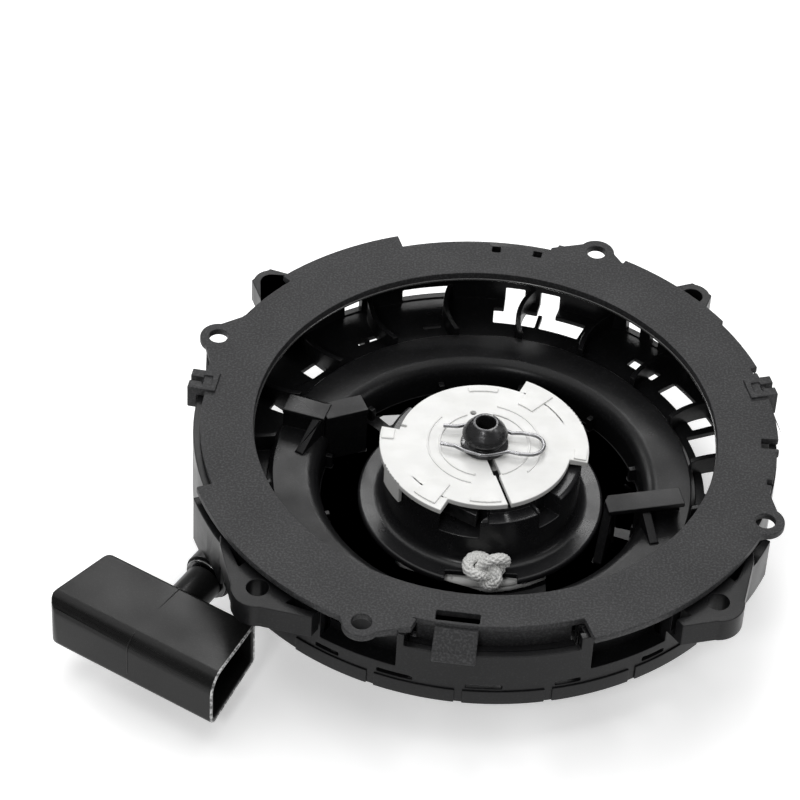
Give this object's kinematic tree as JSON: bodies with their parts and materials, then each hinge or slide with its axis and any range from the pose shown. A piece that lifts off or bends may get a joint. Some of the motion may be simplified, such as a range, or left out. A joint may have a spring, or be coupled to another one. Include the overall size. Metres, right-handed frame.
{
  "type": "recoil starter",
  "caption": "Pull-cord recoil starter for a small vertical-shaft engine: ribbed housing, guide ring, sprung rope reel, ratchet pawls and hollow grip.",
  "frame": {"origin": "on the crank axis, in the engine-side mounting face of the guide ring, at the centre of its bolt circle", "axes": "+Z along the crank axis towards the engine, +X and +Y in the mounting face; the starter lies on its outer face with the mounting face up"},
  "size_m": [0.2352, 0.2021, 0.0518],
  "materials": {
    "housing_plastic": "semi-gloss moulded black nylon",
    "ring_plastic": "fine-grained matt dark grey",
    "reel_plastic": "semi-gloss moulded black",
    "grip_plastic": "satin moulded black",
    "guide_nylon": "satin natural white nylon",
    "rope_braid": "white braid with grey flecks",
    "spring_wire": "bright drawn wire",
    "spring_steel": "blued spring strip",
    "plated_steel": "zinc plated",
    "eyelet_steel": "polished steel",
    "pawl_steel": "sintered, oiled"
  },
  "bodies": {
    "root": {"housing": "housing_plastic", "guide_ring": "ring_plastic", "rope_eyelet": "eyelet_steel", "retainer_pin": "housing_plastic", "thrust_washer": "plated_steel", "recoil_spring": "spring_steel", "rope_run": "rope_braid"},
    "reel": {"reel": "reel_plastic", "spring_case": "plated_steel", "rope_coil": "rope_braid", "rope_knot": "rope_braid", "pawl_spring_a": "spring_wire", "pawl_spring_b": "spring_wire"},
    "guide": {"ratchet_guide": "guide_nylon", "friction_spring": "spring_wire"},
    "pawl_a": {"pawl_a": "pawl_steel"},
    "pawl_b": {"pawl_b": "pawl_steel"},
    "handle": {"handle_grip": "grip_plastic", "grip_insert": "plated_steel", "handle_knot": "rope_braid"}
  },
  "joints": [
    {"name": "reel_spin", "type": "hinge", "parent": "root", "child": "reel", "pos_m": [0, 0, 0], "axis": [0, 0, 1], "range_deg": [0, 1360], "stiffness_Nm_per_rad": 0.012, "springref_deg": -687.55},
    {"name": "handle_pull", "type": "slide", "parent": "root", "child": "handle", "axis": [-0.5, -0.866, 0], "range_m": [0, 0.79]},
    {"name": "guide_turn", "type": "hinge", "parent": "reel", "child": "guide", "pos_m": [0, 0, 0], "axis": [0, 0, 1], "range_deg": [-28, 0], "stiffness_Nm_per_rad": 0.02, "springref_deg": 22.92},
    {"name": "pawl_a_swing", "type": "hinge", "parent": "reel", "child": "pawl_a", "pos_m": [-0.01478, -0.01891, 0], "axis": [0, 0, 1], "range_deg": [-33, 0]},
    {"name": "pawl_b_swing", "type": "hinge", "parent": "reel", "child": "pawl_b", "pos_m": [0.01478, 0.01891, 0], "axis": [0, 0, 1], "range_deg": [-33, 0]}
  ],
  "couplings": [
    {"joint": "handle_pull", "follows": "reel_spin", "m_per_rad": 0.033},
    {"joint": "pawl_a_swing", "follows": "guide_turn", "ratio": 1.175},
    {"joint": "pawl_b_swing", "follows": "guide_turn", "ratio": 1.175}
  ]
}
